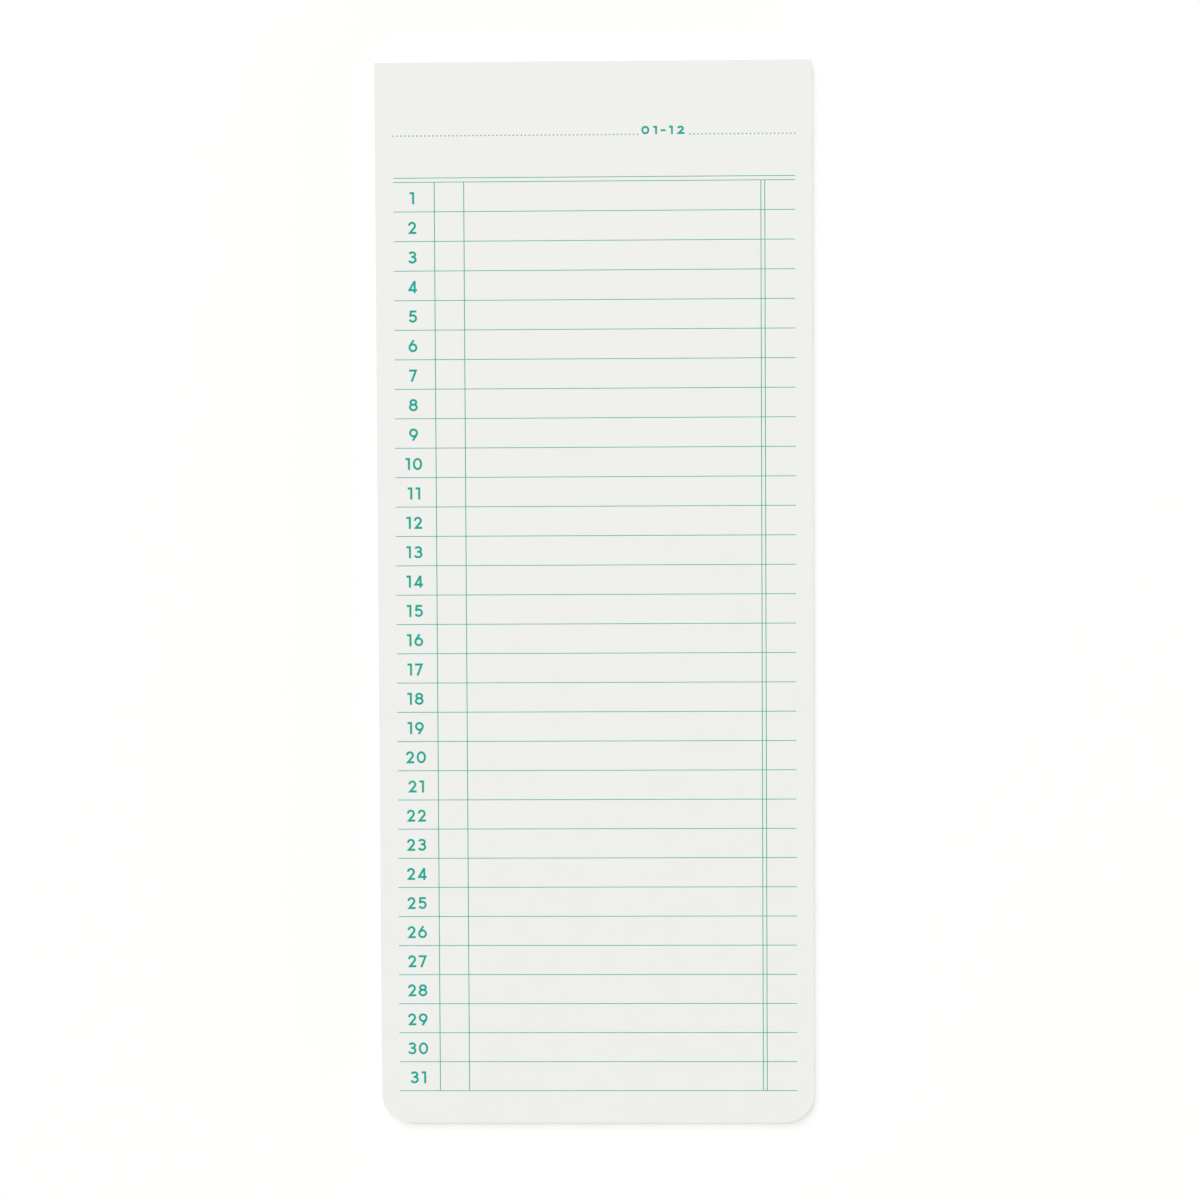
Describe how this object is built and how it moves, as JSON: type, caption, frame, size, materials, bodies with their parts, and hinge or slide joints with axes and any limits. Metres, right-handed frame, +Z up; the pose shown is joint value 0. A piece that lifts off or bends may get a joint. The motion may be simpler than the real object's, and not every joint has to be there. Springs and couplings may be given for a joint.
{
  "type": "sticky memo pad",
  "caption": "Tall narrow pad of ruled monthly memo leaves with round bottom corners, each held to the next by an adhesive strip along its top edge, on a backing card.",
  "frame": {"origin": "middle of the backing card's underside, on the surface the pad lies on", "axes": "+X to the right of the writing, +Y towards the glued top edge, +Z up out of the top leaf"},
  "size_m": [0.074, 0.1808, 0.0033],
  "materials": {
    "printed_paper": "matt uncoated writing paper with fine printed rules",
    "low_tack_adhesive": "thin translucent low-tack coating, faint satin sheen",
    "backing_card": "stiff uncoated board"
  },
  "bodies": {
    "backing": {"backing_card": "backing_card"},
    "leaf_24": {"sheet_24": "printed_paper", "adhesive_24": "low_tack_adhesive"},
    "leaf_23": {"sheet_23": "printed_paper", "adhesive_23": "low_tack_adhesive"},
    "leaf_22": {"sheet_22": "printed_paper", "adhesive_22": "low_tack_adhesive"},
    "leaf_21": {"sheet_21": "printed_paper", "adhesive_21": "low_tack_adhesive"},
    "leaf_20": {"sheet_20": "printed_paper", "adhesive_20": "low_tack_adhesive"},
    "leaf_19": {"sheet_19": "printed_paper", "adhesive_19": "low_tack_adhesive"},
    "leaf_18": {"sheet_18": "printed_paper", "adhesive_18": "low_tack_adhesive"},
    "leaf_17": {"sheet_17": "printed_paper", "adhesive_17": "low_tack_adhesive"},
    "leaf_16": {"sheet_16": "printed_paper", "adhesive_16": "low_tack_adhesive"},
    "leaf_15": {"sheet_15": "printed_paper", "adhesive_15": "low_tack_adhesive"},
    "leaf_14": {"sheet_14": "printed_paper", "adhesive_14": "low_tack_adhesive"},
    "leaf_13": {"sheet_13": "printed_paper", "adhesive_13": "low_tack_adhesive"},
    "leaf_12": {"sheet_12": "printed_paper", "adhesive_12": "low_tack_adhesive"},
    "leaf_11": {"sheet_11": "printed_paper", "adhesive_11": "low_tack_adhesive"},
    "leaf_10": {"sheet_10": "printed_paper", "adhesive_10": "low_tack_adhesive"},
    "leaf_09": {"sheet_09": "printed_paper", "adhesive_09": "low_tack_adhesive"},
    "leaf_08": {"sheet_08": "printed_paper", "adhesive_08": "low_tack_adhesive"},
    "leaf_07": {"sheet_07": "printed_paper", "adhesive_07": "low_tack_adhesive"},
    "leaf_06": {"sheet_06": "printed_paper", "adhesive_06": "low_tack_adhesive"},
    "leaf_05": {"sheet_05": "printed_paper", "adhesive_05": "low_tack_adhesive"},
    "leaf_04": {"sheet_04": "printed_paper", "adhesive_04": "low_tack_adhesive"},
    "leaf_03": {"sheet_03": "printed_paper", "adhesive_03": "low_tack_adhesive"},
    "leaf_02": {"sheet_02": "printed_paper", "adhesive_02": "low_tack_adhesive"},
    "leaf_01": {"sheet_01": "printed_paper", "adhesive_01": "low_tack_adhesive"}
  },
  "joints": [
    {"name": "leaf_24_lift", "type": "hinge", "parent": "backing", "child": "leaf_24", "pos_m": [0, 0.09035, 0.0004], "axis": [-1, 0, 0], "range_deg": [0, 1.5]},
    {"name": "leaf_23_lift", "type": "hinge", "parent": "leaf_24", "child": "leaf_23", "pos_m": [0, 0.09035, 0.00052], "axis": [-1, 0, 0], "range_deg": [0, 1.5]},
    {"name": "leaf_22_lift", "type": "hinge", "parent": "leaf_23", "child": "leaf_22", "pos_m": [0, 0.09035, 0.00064], "axis": [-1, 0, 0], "range_deg": [0, 1.5]},
    {"name": "leaf_21_lift", "type": "hinge", "parent": "leaf_22", "child": "leaf_21", "pos_m": [0, 0.09035, 0.00076], "axis": [-1, 0, 0], "range_deg": [0, 1.5]},
    {"name": "leaf_20_lift", "type": "hinge", "parent": "leaf_21", "child": "leaf_20", "pos_m": [0, 0.09035, 0.00089], "axis": [-1, 0, 0], "range_deg": [0, 1.5]},
    {"name": "leaf_19_lift", "type": "hinge", "parent": "leaf_20", "child": "leaf_19", "pos_m": [0, 0.09035, 0.00101], "axis": [-1, 0, 0], "range_deg": [0, 1.5]},
    {"name": "leaf_18_lift", "type": "hinge", "parent": "leaf_19", "child": "leaf_18", "pos_m": [0, 0.09035, 0.00112], "axis": [-1, 0, 0], "range_deg": [0, 1.5]},
    {"name": "leaf_17_lift", "type": "hinge", "parent": "leaf_18", "child": "leaf_17", "pos_m": [0, 0.09035, 0.00125], "axis": [-1, 0, 0], "range_deg": [0, 1.5]},
    {"name": "leaf_16_lift", "type": "hinge", "parent": "leaf_17", "child": "leaf_16", "pos_m": [0, 0.09035, 0.00136], "axis": [-1, 0, 0], "range_deg": [0, 1.5]},
    {"name": "leaf_15_lift", "type": "hinge", "parent": "leaf_16", "child": "leaf_15", "pos_m": [0, 0.09035, 0.00148], "axis": [-1, 0, 0], "range_deg": [0, 1.5]},
    {"name": "leaf_14_lift", "type": "hinge", "parent": "leaf_15", "child": "leaf_14", "pos_m": [0, 0.09035, 0.00161], "axis": [-1, 0, 0], "range_deg": [0, 1.5]},
    {"name": "leaf_13_lift", "type": "hinge", "parent": "leaf_14", "child": "leaf_13", "pos_m": [0, 0.09035, 0.00172], "axis": [-1, 0, 0], "range_deg": [0, 1.5]},
    {"name": "leaf_12_lift", "type": "hinge", "parent": "leaf_13", "child": "leaf_12", "pos_m": [0, 0.09035, 0.00185], "axis": [-1, 0, 0], "range_deg": [0, 1.5]},
    {"name": "leaf_11_lift", "type": "hinge", "parent": "leaf_12", "child": "leaf_11", "pos_m": [0, 0.09035, 0.00197], "axis": [-1, 0, 0], "range_deg": [0, 1.5]},
    {"name": "leaf_10_lift", "type": "hinge", "parent": "leaf_11", "child": "leaf_10", "pos_m": [0, 0.09035, 0.00209], "axis": [-1, 0, 0], "range_deg": [0, 1.5]},
    {"name": "leaf_09_lift", "type": "hinge", "parent": "leaf_10", "child": "leaf_09", "pos_m": [0, 0.09035, 0.0022], "axis": [-1, 0, 0], "range_deg": [0, 1.5]},
    {"name": "leaf_08_lift", "type": "hinge", "parent": "leaf_09", "child": "leaf_08", "pos_m": [0, 0.09035, 0.00232], "axis": [-1, 0, 0], "range_deg": [0, 1.5]},
    {"name": "leaf_07_lift", "type": "hinge", "parent": "leaf_08", "child": "leaf_07", "pos_m": [0, 0.09035, 0.00245], "axis": [-1, 0, 0], "range_deg": [0, 1.5]},
    {"name": "leaf_06_lift", "type": "hinge", "parent": "leaf_07", "child": "leaf_06", "pos_m": [0, 0.09035, 0.00257], "axis": [-1, 0, 0], "range_deg": [0, 1.5]},
    {"name": "leaf_05_lift", "type": "hinge", "parent": "leaf_06", "child": "leaf_05", "pos_m": [0, 0.09035, 0.00268], "axis": [-1, 0, 0], "range_deg": [0, 1.5]},
    {"name": "leaf_04_lift", "type": "hinge", "parent": "leaf_05", "child": "leaf_04", "pos_m": [0, 0.09035, 0.00281], "axis": [-1, 0, 0], "range_deg": [0, 1.5]},
    {"name": "leaf_03_lift", "type": "hinge", "parent": "leaf_04", "child": "leaf_03", "pos_m": [0, 0.09035, 0.00293], "axis": [-1, 0, 0], "range_deg": [0, 1.5]},
    {"name": "leaf_02_lift", "type": "hinge", "parent": "leaf_03", "child": "leaf_02", "pos_m": [0, 0.09035, 0.00304], "axis": [-1, 0, 0], "range_deg": [0, 1.5]},
    {"name": "leaf_01_lift", "type": "hinge", "parent": "leaf_02", "child": "leaf_01", "pos_m": [0, 0.09035, 0.00316], "axis": [-1, 0, 0], "range_deg": [0, 135]}
  ],
  "couplings": [
    {"joint": "leaf_23_lift", "follows": "leaf_24_lift", "ratio": 1},
    {"joint": "leaf_22_lift", "follows": "leaf_24_lift", "ratio": 1},
    {"joint": "leaf_21_lift", "follows": "leaf_24_lift", "ratio": 1},
    {"joint": "leaf_20_lift", "follows": "leaf_24_lift", "ratio": 1},
    {"joint": "leaf_19_lift", "follows": "leaf_24_lift", "ratio": 1},
    {"joint": "leaf_18_lift", "follows": "leaf_24_lift", "ratio": 1},
    {"joint": "leaf_17_lift", "follows": "leaf_24_lift", "ratio": 1},
    {"joint": "leaf_16_lift", "follows": "leaf_24_lift", "ratio": 1},
    {"joint": "leaf_15_lift", "follows": "leaf_24_lift", "ratio": 1},
    {"joint": "leaf_14_lift", "follows": "leaf_24_lift", "ratio": 1},
    {"joint": "leaf_13_lift", "follows": "leaf_24_lift", "ratio": 1},
    {"joint": "leaf_12_lift", "follows": "leaf_24_lift", "ratio": 1},
    {"joint": "leaf_11_lift", "follows": "leaf_24_lift", "ratio": 1},
    {"joint": "leaf_10_lift", "follows": "leaf_24_lift", "ratio": 1},
    {"joint": "leaf_09_lift", "follows": "leaf_24_lift", "ratio": 1},
    {"joint": "leaf_08_lift", "follows": "leaf_24_lift", "ratio": 1},
    {"joint": "leaf_07_lift", "follows": "leaf_24_lift", "ratio": 1},
    {"joint": "leaf_06_lift", "follows": "leaf_24_lift", "ratio": 1},
    {"joint": "leaf_05_lift", "follows": "leaf_24_lift", "ratio": 1},
    {"joint": "leaf_04_lift", "follows": "leaf_24_lift", "ratio": 1},
    {"joint": "leaf_03_lift", "follows": "leaf_24_lift", "ratio": 1},
    {"joint": "leaf_02_lift", "follows": "leaf_24_lift", "ratio": 1}
  ]
}
